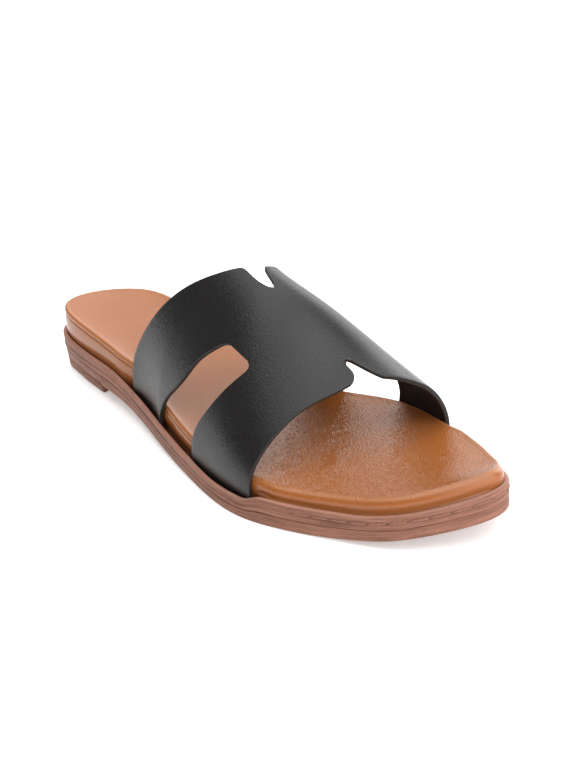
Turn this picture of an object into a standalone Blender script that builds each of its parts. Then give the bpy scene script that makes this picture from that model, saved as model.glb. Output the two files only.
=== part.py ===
"""Slide sandal for the right foot: rubber sole, wrapped footbed wall, padded insole and one leather band.

Metres, +Z up. +Y runs to the toe and +X to the wearer's right, which is the outer side of this foot.
The origin is under the middle of the sole's plan, on the plane that the heel and the forefoot stand on.
Shares along the foot run from 0 at the heel's back to 1 at the toe's tip.
"""
import math
from collections import namedtuple

import bmesh
import bpy
import numpy as np

# Sole
SOLE_LENGTH = 0.255
BALL_WIDTH = 0.0914
SOLE_BAND = 0.0118
HEEL_LIFT = 0.0062
TOE_SPRING = 0.0110
RIM_WIDTH = 0.0019
RIM_DEPTH = 0.0050
RIM_DIP = 0.0036
HEEL_TAPER = 0.0020
BREAST_SLOPE = 0.0015
BREAST_BOW = 0.0045

# Footbed: the wrapped wall and the padded insole on it
FOOTBED_INSET = 0.0030
FOOTBED_RISE_HEEL = 0.0123
FOOTBED_RISE_BALL = 0.0047
FOOTBED_RISE_TOE = 0.0062
INSOLE_EDGE = 0.0030
INSOLE_DISH_HEEL = 0.0018
INSOLE_DISH_BALL = 0.0008
GROOVE_DEPTH = 0.0006
WALL_BULGE = 0.0003

# Upper
UPPER_WALL = 0.0020
INSTEP_HEIGHT = 0.0682
RIDGE_SHIFT = 0.0146
TUCK_DEPTH = 0.0034
LEG_BOW = 0.0009
OUTER_BOW_REACH = 0.040
INNER_BOW_REACH = 0.012
SLOT_CORNER = 0.0032

# Fit between the pieces
SEAT_GAP = 0.0003
LEG_CLEARANCE = 0.0005
POCKET_MARGIN = 0.0025
POCKET_EASE = 0.007

# Places along the foot, as shares of the sole's length
BREAST_AT = 0.146
ARCH_FROM = 0.18
ARCH_TO = 0.52
TOE_SPRING_FROM = 0.72
HEEL_TAPER_TO = 0.06
FOOTBED_LEVEL_AT = 0.50

# Places around the band, as shares of its arc from the outer base to the inner base
OUTER_SLOT_END = 0.271
INNER_SLOT_END = 0.705
FOOTBED_ARC = 0.075

# How far the section's sides are flatter than an ellipse, and how the ridge leans in towards its top
SECTION_FLATNESS = 0.031
LEAN_POWER = 1.6

# How finely the shapes are cut into faces
PLAN_STEPS = 120
BAND_STEPS = 36
NOTCH_STEP = 0.0045
CORNER_STEPS = 4
LEG_ROWS = 6
BRIDGE_ROWS = 6
ACROSS_STEPS = 6

# Half widths are fullness * ball width * the half circle's height, so that both ends are round
PlanRow = namedtuple("PlanRow", "along fullness centre")
SOLE_PLAN = (
    PlanRow(0.00, 0.472, 0.054),
    PlanRow(0.08, 0.450, -0.022),
    PlanRow(0.20, 0.357, -0.019),
    PlanRow(0.35, 0.3836, -0.0026),
    PlanRow(0.50, 0.419, 0.052),
    PlanRow(0.65, 0.524, 0.004),
    PlanRow(0.80, 0.523, -0.047),
    PlanRow(0.92, 0.514, -0.065),
    PlanRow(1.00, 0.470, -0.138),
)

# The sole's side from the tread edge up and over the rim: height over the band, inset over the rim's width
SideRow = namedtuple("SideRow", "height inset")
SOLE_SIDE = (
    SideRow(0.00, 0.90),
    SideRow(0.09, 0.35),
    SideRow(0.50, 0.30),
    SideRow(0.54, 0.62),
    SideRow(0.58, 0.62),
    SideRow(0.62, 0.06),
    SideRow(0.95, 0.00),
    SideRow(1.00, 0.30),
    SideRow(1.00, 0.80),
    SideRow(0.96, 1.00),
)

# How far the rim dips, as a share of the rim's dip, easing from row to row
DipRow = namedtuple("DipRow", "along dip")
RIM_DIPS = (
    DipRow(0.17, 0.00),
    DipRow(0.27, 0.56),
    DipRow(0.46, 0.56),
    DipRow(0.56, 1.00),
    DipRow(0.63, 1.00),
    DipRow(0.68, 0.00),
)

# The ridge's height over the band's base, as a share of the instep height
RidgeRow = namedtuple("RidgeRow", "along height")
RIDGE = (
    RidgeRow(0.225, 1.265),
    RidgeRow(0.461, 1.000),
    RidgeRow(0.578, 0.853),
    RidgeRow(0.676, 0.613),
    RidgeRow(0.775, 0.459),
    RidgeRow(0.853, 0.339),
)

# The band's edges and the lines that carry its slots, as shares along the foot, from outer base to inner base
EdgeRow = namedtuple("EdgeRow", "arc rear slot_rear slot_front front")
BAND_EDGES = (
    EdgeRow(0.00, 0.262, 0.366, 0.484, 0.648),
    EdgeRow(0.06, 0.268, 0.390, 0.491, 0.649),
    EdgeRow(0.12, 0.289, 0.425, 0.513, 0.654),
    EdgeRow(0.20, 0.325, 0.460, 0.545, 0.664),
    EdgeRow(0.28, 0.368, 0.508, 0.574, 0.678),
    EdgeRow(0.36, 0.414, 0.530, 0.588, 0.699),
    EdgeRow(0.44, 0.452, 0.543, 0.600, 0.713),
    EdgeRow(0.52, 0.476, 0.552, 0.612, 0.736),
    EdgeRow(0.60, 0.474, 0.563, 0.624, 0.758),
    EdgeRow(0.70, 0.464, 0.573, 0.638, 0.766),
    EdgeRow(0.80, 0.453, 0.569, 0.651, 0.768),
    EdgeRow(0.90, 0.443, 0.554, 0.653, 0.768),
    EdgeRow(1.00, 0.436, 0.540, 0.643, 0.766),
)

# Notches near the ridge: places of outer wall, bottom and end around the band, depth, lip's radius, flank's power
NotchRow = namedtuple("NotchRow", "wall bottom end depth lip flank")
REAR_NOTCH = NotchRow(0.4405, 0.464, 0.520, 0.0150, 0.0020, 0.80)
FRONT_NOTCH = NotchRow(0.4380, 0.453, 0.497, 0.0110, 0.0075, 0.90)
WALL_POWER = 2.5


def material(name, colour, roughness, specular=0.5):
    """A plain Principled material in the piece's own colour."""
    made = bpy.data.materials.new(name)
    made.use_nodes = True
    shader = made.node_tree.nodes["Principled BSDF"]
    shader.inputs["Base Color"].default_value = (*colour, 1.0)
    shader.inputs["Roughness"].default_value = roughness
    shader.inputs["Metallic"].default_value = 0.0
    shader.inputs["Specular IOR Level"].default_value = specular
    return made


def ease(share):
    """0 to 1 with a level start and end."""
    inside = min(max(share, 0.0), 1.0)
    return 0.5 - 0.5 * math.cos(math.pi * inside)


def spline(rows, column, at):
    """Natural cubic curve through one column of a table, over the table's first column."""
    x = np.array([row[0] for row in rows])
    y = np.array([getattr(row, column) for row in rows])
    step = np.diff(x)
    slope = np.diff(y) / step
    count = len(x)
    system = np.eye(count)
    bend = np.zeros(count)
    for k in range(1, count - 1):
        system[k, k - 1] = step[k - 1]
        system[k, k] = 2.0 * (step[k - 1] + step[k])
        system[k, k + 1] = step[k]
        bend[k] = 6.0 * (slope[k] - slope[k - 1])
    curve = np.linalg.solve(system, bend)
    at = min(max(at, x[0]), x[-1])
    k = min(int(np.searchsorted(x, at, side="right")) - 1, count - 2)
    left = at - x[k]
    right = x[k + 1] - at
    ends = (curve[k] * right**3 + curve[k + 1] * left**3) / (6.0 * step[k])
    from_left = (y[k] / step[k] - curve[k] * step[k] / 6.0) * right
    from_right = (y[k + 1] / step[k] - curve[k + 1] * step[k] / 6.0) * left
    return ends + from_left + from_right


def along_y(share):
    """The Y of a share along the foot."""
    return (share - 0.5) * SOLE_LENGTH


def share_of(y):
    """The share along the foot of a Y."""
    return y / SOLE_LENGTH + 0.5


def half_width(share):
    """Half of the sole's width at a share along the foot."""
    inside = min(max(share, 0.0), 1.0)
    return spline(SOLE_PLAN, "fullness", inside) * BALL_WIDTH * 2.0 * math.sqrt(inside * (1.0 - inside))


def raw_centre(share):
    """The sole's centre line before its plan is centred on X = 0."""
    return spline(SOLE_PLAN, "centre", share) * BALL_WIDTH


def plan_shift():
    """How far the plan moves in X so that its two sides lie at equal distance from the origin."""
    shares = [k / 400.0 for k in range(401)]
    outer = max(raw_centre(share) + half_width(share) for share in shares)
    inner = min(raw_centre(share) - half_width(share) for share in shares)
    return -0.5 * (outer + inner)


PLAN_SHIFT = plan_shift()


def centre(share):
    """X of the sole's centre line."""
    return raw_centre(share) + PLAN_SHIFT


def plan_share(turn):
    """Share along the foot of a turn round the plan: 0 at the heel, pi at the toe, outer side first."""
    return 0.5 - 0.5 * math.cos(turn)


def plan_edge(turn):
    """The sole's outline in plan."""
    share = plan_share(turn)
    side = math.copysign(1.0, math.sin(turn))
    return np.array([centre(share) + side * half_width(share), along_y(share)])


def plan_point(turn, inset):
    """The outline moved inwards by inset, square to itself."""
    small = 1e-3
    ahead = plan_edge(turn + small) - plan_edge(turn - small)
    outward = np.array([ahead[1], -ahead[0]]) / math.hypot(ahead[0], ahead[1])
    return plan_edge(turn) - outward * inset


def plan_turns():
    """Turns round the plan, with a close pair on each side where the heel's breast stands."""
    turns = [2.0 * math.pi * k / PLAN_STEPS for k in range(PLAN_STEPS)]
    half = PLAN_STEPS // 2
    behind = max(k for k in range(half) if plan_share(turns[k]) < BREAST_AT)
    slope_share = 0.5 * BREAST_SLOPE / SOLE_LENGTH
    for k, share in ((behind, BREAST_AT - slope_share), (behind + 1, BREAST_AT + slope_share)):
        turns[k] = math.acos(1.0 - 2.0 * share)
        turns[PLAN_STEPS - k] = 2.0 * math.pi - turns[k]
    return turns


TURNS = plan_turns()


def tread_height(share):
    """Underside of the sole's band: lifted at heel and toe, flat on the ground under the forefoot."""
    heel = HEEL_LIFT * ease((ARCH_TO - share) / (ARCH_TO - ARCH_FROM))
    toe_way = max(share - TOE_SPRING_FROM, 0.0) / (1.0 - TOE_SPRING_FROM)
    return heel + TOE_SPRING * toe_way**2


def base_height(share):
    """Height of the sole's band without its dip. Footbed and leather band are set out from it."""
    return tread_height(share) + SOLE_BAND


def rim_height(share):
    """Top of the sole's rim, which is lower beside the band's legs."""
    dip = 0.0
    for row, after in zip(RIM_DIPS, RIM_DIPS[1:]):
        dip += (after.dip - row.dip) * ease((share - row.along) / (after.along - row.along))
    return base_height(share) - RIM_DIP * dip


def floor_height(share):
    """Floor of the recess that takes the footbed."""
    return rim_height(share) - RIM_DEPTH


def footbed_height(share):
    """Top edge of the footbed: a wedge that falls from the heel to the ball."""
    to_ball = ease(share / FOOTBED_LEVEL_AT)
    to_toe = ease((share - FOOTBED_LEVEL_AT) / (1.0 - FOOTBED_LEVEL_AT))
    rise = FOOTBED_RISE_HEEL + (FOOTBED_RISE_BALL - FOOTBED_RISE_HEEL) * to_ball
    return base_height(share) + rise + (FOOTBED_RISE_TOE - FOOTBED_RISE_BALL) * to_toe


def band_base(share):
    """Centre X, half width and ridge height of the band's section, over its base."""
    inset = RIM_WIDTH + LEG_CLEARANCE
    height = INSTEP_HEIGHT * spline(RIDGE, "height", share)
    return centre(share), half_width(share) - inset, height


def section_sides(turn):
    """X and Z of the band's section on unit sizes, for a turn of 0 at the outer base to pi."""
    scale = 1.0 + SECTION_FLATNESS
    across = (math.cos(turn) + SECTION_FLATNESS * math.cos(3.0 * turn)) / scale
    up = (math.sin(turn) - SECTION_FLATNESS * math.sin(3.0 * turn)) / scale
    return across, max(up, 0.0)


def band_edge(column, arc):
    """Share along the foot of one of the band's lines, without notches and corners."""
    return spline(BAND_EDGES, column, arc)


def arc_length():
    """Length of the band over the ridge, from base to base, at the middle of its slots."""
    share = band_edge("slot_front", 0.5)
    middle, half, height = band_base(share)
    steps = [section_sides(math.pi * k / 60.0) for k in range(61)]
    points = [(middle + half * x, height * z) for x, z in steps]
    return sum(math.dist(a, b) for a, b in zip(points, points[1:]))


ARC_LENGTH = arc_length()


def notch(row, arc):
    """Depth of a notch at a place around the band: a round lip, a steep outer wall and an easier inner flank."""
    if arc < row.wall:
        way = max(1.0 - (row.wall - arc) * ARC_LENGTH / row.lip, 0.0)
        return row.lip * (1.0 - math.sqrt(1.0 - way**2))
    if arc < row.bottom:
        left = (row.bottom - arc) / (row.bottom - row.wall)
        return row.lip + (row.depth - row.lip) * (1.0 - left**WALL_POWER) ** (1.0 / WALL_POWER)
    way = min((arc - row.bottom) / (row.end - row.bottom), 1.0)
    return row.depth * (1.0 - ease(way**row.flank))


def corner(arc):
    """How far a slot's side turns in at its end, so that the end has round corners."""
    if abs(arc - OUTER_SLOT_END) < abs(arc - INNER_SLOT_END):
        short = (OUTER_SLOT_END - arc) * ARC_LENGTH
    else:
        short = (arc - INNER_SLOT_END) * ARC_LENGTH
    if short < 0.0 or short >= SLOT_CORNER:
        return 0.0
    into = SLOT_CORNER - short
    return (SLOT_CORNER - math.sqrt(SLOT_CORNER**2 - into**2)) / SOLE_LENGTH


def band_lines(arc):
    """Shares along the foot of the rear edge, both slot lines and the front edge."""
    rear = band_edge("rear", arc) + notch(REAR_NOTCH, arc) / SOLE_LENGTH
    front = band_edge("front", arc) - notch(FRONT_NOTCH, arc) / SOLE_LENGTH
    turned = corner(arc)
    return rear, band_edge("slot_rear", arc) + turned, band_edge("slot_front", arc) - turned, front


def leg_spans():
    """Side and ends of the four legs at their base, as shares along the foot."""
    outer = band_lines(0.0)
    inner = band_lines(1.0)
    return ((1, outer[0], outer[1]), (1, outer[2], outer[3]), (-1, inner[0], inner[1]), (-1, inner[2], inner[3]))


def leg_bow(side, share, over_base):
    """How far a leg's middle stands in from the rim's curve near its base, because leather is flat there."""
    reach = OUTER_BOW_REACH if side > 0 else INNER_BOW_REACH
    fade = 1.0 - ease(max(over_base, 0.0) / reach)
    for leg_side, start, end in leg_spans():
        if side == leg_side and start < share < end:
            way = (share - start) / (end - start)
            return LEG_BOW * fade * 4.0 * way * (1.0 - way)
    return 0.0


def band_point(arc, share, tuck=0.0):
    """A point of the band's outer face. The tuck leads a leg straight down, at 1 to its end in the recess."""
    middle, half, height = band_base(share)
    across, up = section_sides(math.pi * arc)
    side = 1 if arc < 0.5 else -1
    over_base = height * up
    x = middle + half * across - RIDGE_SHIFT * up**LEAN_POWER - side * leg_bow(side, share, over_base)
    drop = tuck * (base_height(share) - rim_height(share) + TUCK_DEPTH)
    return x, along_y(share), base_height(share) + over_base - drop


def band_inside(side, share, z):
    """X of the band's inner face at one side of the foot, at a height."""
    middle, half, height = band_base(share)
    over_base = z - base_height(share)
    up_wanted = max(over_base, 0.0) / height
    low, high = 0.0, 0.5 * math.pi
    for _ in range(30):
        turn = 0.5 * (low + high)
        if section_sides(turn)[1] < up_wanted:
            low = turn
        else:
            high = turn
    across, up = section_sides(low)
    outside = half * across - leg_bow(side, share, over_base)
    slope = math.hypot(1.0, 2.0 * half * (1.0 - across) / max(over_base, UPPER_WALL))
    return middle - RIDGE_SHIFT * up**LEAN_POWER + side * (outside - UPPER_WALL * slope)


def leg_cover(side, share):
    """How fully a leg covers a place of the footbed's wall: 1 behind it, easing to 0 beside it."""
    covered = 0.0
    for leg_side, start, end in LEG_REACH:
        if leg_side == side:
            before = (start - share) * SOLE_LENGTH
            after = (share - end) * SOLE_LENGTH
            beside = max(before, after, 0.0)
            covered = max(covered, 1.0 - ease(beside / POCKET_EASE))
    return covered


def leg_reach():
    """Side and ends of the legs over the low part of the band that passes the footbed's wall."""
    spans = []
    margin = POCKET_MARGIN / SOLE_LENGTH
    for side, base_arc, first, last in ((1, 0.0, 0, 1), (1, 0.0, 2, 3), (-1, 1.0, 0, 1), (-1, 1.0, 2, 3)):
        lines = [band_lines(abs(base_arc - FOOTBED_ARC * step / 3)) for step in range(4)]
        start = min(line[first] for line in lines)
        end = max(line[last] for line in lines)
        spans.append((side, start - margin, end + margin))
    return spans


LEG_REACH = leg_reach()


def beside_legs(point, z):
    """A point of the footbed's wall, moved in where a leg passes it."""
    x, y = point
    share = share_of(y)
    side = 1 if x > centre(min(max(share, 0.0), 1.0)) else -1
    covered = leg_cover(side, share)
    if covered == 0.0:
        return x, y, z
    limit = band_inside(side, share, z) - side * LEG_CLEARANCE
    inner = min(x, limit) if side > 0 else max(x, limit)
    return x + (inner - x) * covered, y, z


def add_ladder(bm, ring, across, shaped):
    """Close a ring of the plan with rows of points across the foot, moved by a shape function."""
    half = len(ring) // 2
    rows = []
    for k in range(1, half):
        outer, inner = ring[k], ring[-k]
        row = [outer]
        for j in range(1, across):
            way = j / across
            point = outer.co.lerp(inner.co, way)
            row.append(bm.verts.new(shaped(plan_share(TURNS[k]), way, point)))
        row.append(inner)
        rows.append(row)
    for tip, row in ((ring[0], rows[0]), (ring[half], rows[-1])):
        for a, b in zip(row, row[1:]):
            bm.faces.new((tip, a, b))
    for row, after in zip(rows, rows[1:]):
        for j in range(across):
            bm.faces.new((row[j], row[j + 1], after[j + 1], after[j]))


def loft(name, rings, bottom, top, finish):
    """A closed solid through rings of the plan, closed below and above by ladders."""
    bm = bmesh.new()
    made = [[bm.verts.new(point) for point in ring] for ring in rings]
    for low, high in zip(made, made[1:]):
        for k in range(len(low)):
            after = (k + 1) % len(low)
            bm.faces.new((low[k], low[after], high[after], high[k]))
    add_ladder(bm, made[0], *bottom)
    add_ladder(bm, made[-1], *top)
    bmesh.ops.recalc_face_normals(bm, faces=bm.faces)
    return add_object(name, bm, finish)


def add_object(name, bm, finish):
    """Put a mesh into the sandal's collection as one named, smoothly shaded piece."""
    mesh = bpy.data.meshes.new(name)
    bm.to_mesh(mesh)
    bm.free()
    mesh.materials.append(finish)
    mesh.shade_smooth()
    mesh.set_sharp_from_angle(angle=math.radians(35.0))
    piece = bpy.data.objects.new(name, mesh)
    bpy.data.collections["slide_sandal"].objects.link(piece)
    return piece


def keep_point(share, way, point):
    """Leave a ladder's point where it is."""
    return point


def make_outsole():
    """Moulded sole: tread, low heel, stepped and grooved side, raised rim and the recess inside it."""
    rings = []
    for row in SOLE_SIDE:
        ring = []
        for turn in TURNS:
            share = plan_share(turn)
            inset = row.inset * RIM_WIDTH
            tread = tread_height(share)
            z = tread + row.height * (rim_height(share) - tread)
            if share < BREAST_AT and row in SOLE_SIDE[:2]:
                inset += HEEL_TAPER * ease(share / HEEL_TAPER_TO)
                z = row.height * SOLE_BAND
            x, y = plan_point(turn, inset)
            ring.append((x, y, z))
        rings.append(ring)
    floor = []
    for turn in TURNS:
        x, y = plan_point(turn, RIM_WIDTH)
        floor.append((x, y, floor_height(plan_share(turn))))
    rings.append(floor)

    def bowed(share, way, point):
        """The heel's breast curves back in the middle."""
        near = 1.0 - ease(abs(share - BREAST_AT) / BREAST_AT)
        point.y -= BREAST_BOW * near * 4.0 * way * (1.0 - way)
        return point

    rubber = material("sole_rubber", (0.36, 0.15, 0.10), 0.55)
    return loft("outsole", rings, (ACROSS_STEPS, bowed), (1, keep_point), rubber)


def footbed_ring(inset, height_of):
    """One ring of the footbed's wall, dented where the legs pass."""
    ring = []
    for turn in TURNS:
        z = height_of(plan_share(turn))
        ring.append(beside_legs(plan_point(turn, inset), z))
    return ring


def make_midsole():
    """Wrapped wedge under the insole, standing in the sole's recess."""

    def bottom_z(share):
        return floor_height(share) + SEAT_GAP

    def top_z(share):
        return footbed_height(share) - INSOLE_EDGE - SEAT_GAP

    def between(way):
        return lambda share: bottom_z(share) + (top_z(share) - bottom_z(share)) * way

    levels = (
        (0.00, FOOTBED_INSET + 2.0 * WALL_BULGE),
        (0.12, FOOTBED_INSET + WALL_BULGE),
        (0.45, FOOTBED_INSET),
        (0.70, FOOTBED_INSET),
        (0.90, FOOTBED_INSET + WALL_BULGE),
        (1.00, FOOTBED_INSET + WALL_BULGE + GROOVE_DEPTH),
    )
    rings = [footbed_ring(inset, between(way)) for way, inset in levels]
    wrap = material("footbed_wrap", (0.42, 0.21, 0.10), 0.45)
    return loft("midsole", rings, (1, keep_point), (1, keep_point), wrap)


def make_insole():
    """Padded insole with a rolled edge and a shallow dish that follows the foot."""

    def level(way):
        return lambda share: footbed_height(share) - INSOLE_EDGE * (1.0 - way)

    levels = (
        (0.00, FOOTBED_INSET + WALL_BULGE + GROOVE_DEPTH),
        (0.18, FOOTBED_INSET + WALL_BULGE),
        (0.50, FOOTBED_INSET),
        (0.80, FOOTBED_INSET + WALL_BULGE),
        (0.95, FOOTBED_INSET + 0.25 * INSOLE_EDGE),
        (1.00, FOOTBED_INSET + 0.55 * INSOLE_EDGE),
    )
    rings = [footbed_ring(inset, level(way)) for way, inset in levels]

    def dished(share, way, point):
        """The footbed is lowest along its middle, deepest in the heel."""
        depth = INSOLE_DISH_HEEL + (INSOLE_DISH_BALL - INSOLE_DISH_HEEL) * ease(share / FOOTBED_LEVEL_AT)
        at_end = ease(4.0 * share) * ease(4.0 * (1.0 - share))
        point.z -= depth * at_end * (1.0 - (2.0 * way - 1.0) ** 4)
        return point

    leatherette = material("insole_leatherette", (0.46, 0.22, 0.10), 0.42)
    return loft("insole", rings, (1, keep_point), (ACROSS_STEPS, dished), leatherette)


def band_arcs():
    """Places of the band's columns: even ones, close ones in the notches, and the slots' corners."""
    arcs = [k / BAND_STEPS for k in range(BAND_STEPS + 1)]
    first = FRONT_NOTCH.wall - FRONT_NOTCH.lip / ARC_LENGTH
    last = REAR_NOTCH.end
    arcs = [arc for arc in arcs if not first < arc < last]
    count = round((last - first) / NOTCH_STEP)
    arcs += [first + (last - first) * k / count for k in range(count + 1)]
    reach = SLOT_CORNER / ARC_LENGTH
    for end, inward in ((OUTER_SLOT_END, -1.0), (INNER_SLOT_END, 1.0)):
        arcs = [arc for arc in arcs if abs(arc - end) > 1.3 * reach]
        for step in range(CORNER_STEPS + 1):
            arcs.append(end + inward * reach * math.cos(0.5 * math.pi * step / CORNER_STEPS))
    return sorted(arcs)


def make_upper():
    """Leather band over the foot: one sheet cut out between its edges, with the thickness of its wall."""
    columns = [(0.0, 1.0), (0.0, 0.5)]
    columns += [(arc, 0.0) for arc in band_arcs()]
    columns += [(1.0, 0.5), (1.0, 1.0)]
    counts = (LEG_ROWS, BRIDGE_ROWS, LEG_ROWS)
    bm = bmesh.new()
    grid = []
    for arc, tuck in columns:
        lines = band_lines(arc)
        shares = [lines[0]]
        for (start, end), count in zip(zip(lines, lines[1:]), counts):
            shares += [start + (end - start) * (k + 1) / count for k in range(count)]
        grid.append([bm.verts.new(band_point(arc, share, tuck)) for share in shares])
    bridge = range(LEG_ROWS, LEG_ROWS + BRIDGE_ROWS)
    for k in range(len(columns) - 1):
        middle_arc = 0.5 * (columns[k][0] + columns[k + 1][0])
        open_here = not OUTER_SLOT_END < middle_arc < INNER_SLOT_END
        for row in range(sum(counts)):
            if open_here and row in bridge:
                continue
            corners = (grid[k][row], grid[k][row + 1], grid[k + 1][row + 1], grid[k + 1][row])
            bm.faces.new(corners)
    loose = [vert for vert in bm.verts if not vert.link_faces]
    bmesh.ops.delete(bm, geom=loose, context="VERTS")
    piece = add_object("upper", bm, material("upper_leather", (0.022, 0.021, 0.021), 0.42))
    wall = piece.modifiers.new("wall", "SOLIDIFY")
    wall.thickness = UPPER_WALL
    wall.offset = -1.0
    wall.use_even_offset = True
    return piece


for leftover in list(bpy.data.objects):
    bpy.data.objects.remove(leftover)
sandal = bpy.data.collections.new("slide_sandal")
bpy.context.scene.collection.children.link(sandal)

make_outsole()
make_midsole()
make_insole()
make_upper()
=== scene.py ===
"""Looks of the slide sandal: skins of sole, footbed and leather band, finishes, floor, lights and camera.

Metres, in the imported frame: +Y runs to the toe, +X to the outer side of this right foot, +Z up.
Shares along the foot run from 0 at the heel's back to 1 at the toe's tip.
"""
import math
from collections import namedtuple

import bpy
import numpy as np
from mathutils import Matrix, Vector


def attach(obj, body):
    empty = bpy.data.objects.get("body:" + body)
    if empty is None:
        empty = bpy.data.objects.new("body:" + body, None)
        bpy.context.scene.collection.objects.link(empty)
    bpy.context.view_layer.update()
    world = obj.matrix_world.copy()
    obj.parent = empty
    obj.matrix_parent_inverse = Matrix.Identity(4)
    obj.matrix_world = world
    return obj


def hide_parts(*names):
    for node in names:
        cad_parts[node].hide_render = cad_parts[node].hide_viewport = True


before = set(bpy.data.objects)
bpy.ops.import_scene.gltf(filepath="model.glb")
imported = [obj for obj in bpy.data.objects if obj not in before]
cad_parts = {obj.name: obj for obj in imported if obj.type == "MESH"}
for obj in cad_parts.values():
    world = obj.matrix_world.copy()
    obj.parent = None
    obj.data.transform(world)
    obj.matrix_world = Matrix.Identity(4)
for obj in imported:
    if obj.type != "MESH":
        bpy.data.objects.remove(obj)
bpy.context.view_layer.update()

# Sizes that the solids are built from, repeated so that the skins follow them
SOLE_LENGTH = 0.255
BALL_WIDTH = 0.0914
SOLE_BAND = 0.0118
HEEL_LIFT = 0.0062
TOE_SPRING = 0.0110
RIM_WIDTH = 0.0019
RIM_DEPTH = 0.0050
RIM_DIP = 0.0036
BREAST_BOW = 0.0045
FOOTBED_INSET = 0.0030
FOOTBED_RISE_HEEL = 0.0123
FOOTBED_RISE_BALL = 0.0047
FOOTBED_RISE_TOE = 0.0062
INSOLE_DISH_HEEL = 0.0018
INSOLE_DISH_BALL = 0.0008
UPPER_WALL = 0.0020
INSTEP_HEIGHT = 0.0682
RIDGE_SHIFT = 0.0146
TUCK_DEPTH = 0.0034
LEG_BOW = 0.0009
OUTER_BOW_REACH = 0.040
INNER_BOW_REACH = 0.012
SLOT_CORNER = 0.0032
SLOT_CORNER_EASE = 0.0128
SEAT_GAP = 0.0003
LEG_CLEARANCE = 0.0005
POCKET_MARGIN = 0.0006
BREAST_AT = 0.146
ARCH_FROM = 0.18
ARCH_TO = 0.52
TOE_SPRING_FROM = 0.72
HEEL_TAPER_TO = 0.06
FOOTBED_LEVEL_AT = 0.50
OUTER_SLOT_END = 0.271
INNER_SLOT_END = 0.705
FOOTBED_ARC = 0.075
SECTION_FLATNESS = 0.031
LEAN_POWER = 1.6

PlanRow = namedtuple("PlanRow", "along fullness centre")
SOLE_PLAN = (
    PlanRow(0.00, 0.472, 0.054),
    PlanRow(0.08, 0.450, -0.022),
    PlanRow(0.20, 0.357, -0.019),
    PlanRow(0.35, 0.3836, -0.0026),
    PlanRow(0.50, 0.419, 0.052),
    PlanRow(0.65, 0.524, 0.004),
    PlanRow(0.80, 0.523, -0.047),
    PlanRow(0.92, 0.514, -0.065),
    PlanRow(1.00, 0.470, -0.138),
)

# How far the rim dips, as a share of the rim's dip, easing from row to row
DipRow = namedtuple("DipRow", "along dip")
RIM_DIPS = (
    DipRow(0.17, 0.00),
    DipRow(0.27, 0.56),
    DipRow(0.46, 0.56),
    DipRow(0.56, 1.00),
    DipRow(0.63, 1.00),
    DipRow(0.68, 0.00),
)

RidgeRow = namedtuple("RidgeRow", "along height")
RIDGE = (
    RidgeRow(0.225, 1.265),
    RidgeRow(0.461, 1.000),
    RidgeRow(0.578, 0.853),
    RidgeRow(0.676, 0.613),
    RidgeRow(0.775, 0.459),
    RidgeRow(0.853, 0.339),
)

EdgeRow = namedtuple("EdgeRow", "arc rear slot_rear slot_front front")
BAND_EDGES = (
    EdgeRow(0.00, 0.262, 0.366, 0.484, 0.648),
    EdgeRow(0.06, 0.268, 0.390, 0.491, 0.649),
    EdgeRow(0.12, 0.289, 0.425, 0.513, 0.654),
    EdgeRow(0.20, 0.325, 0.460, 0.545, 0.664),
    EdgeRow(0.28, 0.368, 0.508, 0.574, 0.678),
    EdgeRow(0.36, 0.414, 0.530, 0.588, 0.699),
    EdgeRow(0.44, 0.452, 0.543, 0.600, 0.713),
    EdgeRow(0.52, 0.476, 0.552, 0.612, 0.736),
    EdgeRow(0.60, 0.474, 0.563, 0.624, 0.758),
    EdgeRow(0.70, 0.464, 0.573, 0.638, 0.766),
    EdgeRow(0.80, 0.453, 0.569, 0.651, 0.768),
    EdgeRow(0.90, 0.443, 0.554, 0.653, 0.768),
    EdgeRow(1.00, 0.436, 0.540, 0.643, 0.766),
)

NotchRow = namedtuple("NotchRow", "wall bottom end depth lip flank")
REAR_NOTCH = NotchRow(0.4405, 0.464, 0.520, 0.0150, 0.0020, 0.80)
FRONT_NOTCH = NotchRow(0.4380, 0.453, 0.497, 0.0110, 0.0075, 0.90)
WALL_POWER = 2.5

# The sole's side from the underside up and over the rim, down to the recess floor
SideRow = namedtuple("SideRow", "height inset")
SOLE_SKIN = (
    SideRow(0.0000, 0.0062),
    SideRow(0.0000, 0.0007),
    SideRow(0.0005, 0.0004),
    SideRow(0.0050, 0.0003),
    SideRow(0.0053, 0.0007),
    SideRow(0.0056, 0.0007),
    SideRow(0.0059, 0.0001),
    SideRow(0.0079, 0.0001),
    SideRow(0.0082, 0.0004),
    SideRow(0.0092, 0.0004),
    SideRow(0.0095, 0.0001),
    SideRow(0.0118, 0.0000),
    SideRow(0.0118, 0.0019),
    SideRow(0.0068, 0.0020),
)
SKIN_ROUND = 0.00025
ROUND_AT_MOST = 0.45

# The heel's side leans in towards the ground. The sole's side flares out beside the forefoot and at the toe
HEEL_SLOPE = 0.19
HEEL_FADE = 0.0040
SIDE_FLARE = 0.0011
FLARE_FROM = 0.44
FLARE_EASE = 0.22
FLARE_TO = 0.87
FLARE_TOE_EASE = 0.12
TOE_FLARE_AT = math.radians(172.0)
TOE_FLARE_REACH = math.radians(24.0)

# The heel block from the ground up, how deep it sits in the sole, and its breast's slope at the ground
HEEL_SKIN = (
    SideRow(0.0000, 0.0030),
    SideRow(0.0000, 0.0012),
    SideRow(0.0008, 0.0006),
    SideRow(HEEL_LIFT + 0.0006, 0.0005),
)
HEEL_ROUND = 0.0005
HEEL_SIDE_STEPS = 60
BREAST_STEPS = 24
BREAST_FOOT = 0.0015
BREAST_FOOT_SLOPE = 0.5
HEEL_BACK = 0.02

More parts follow.
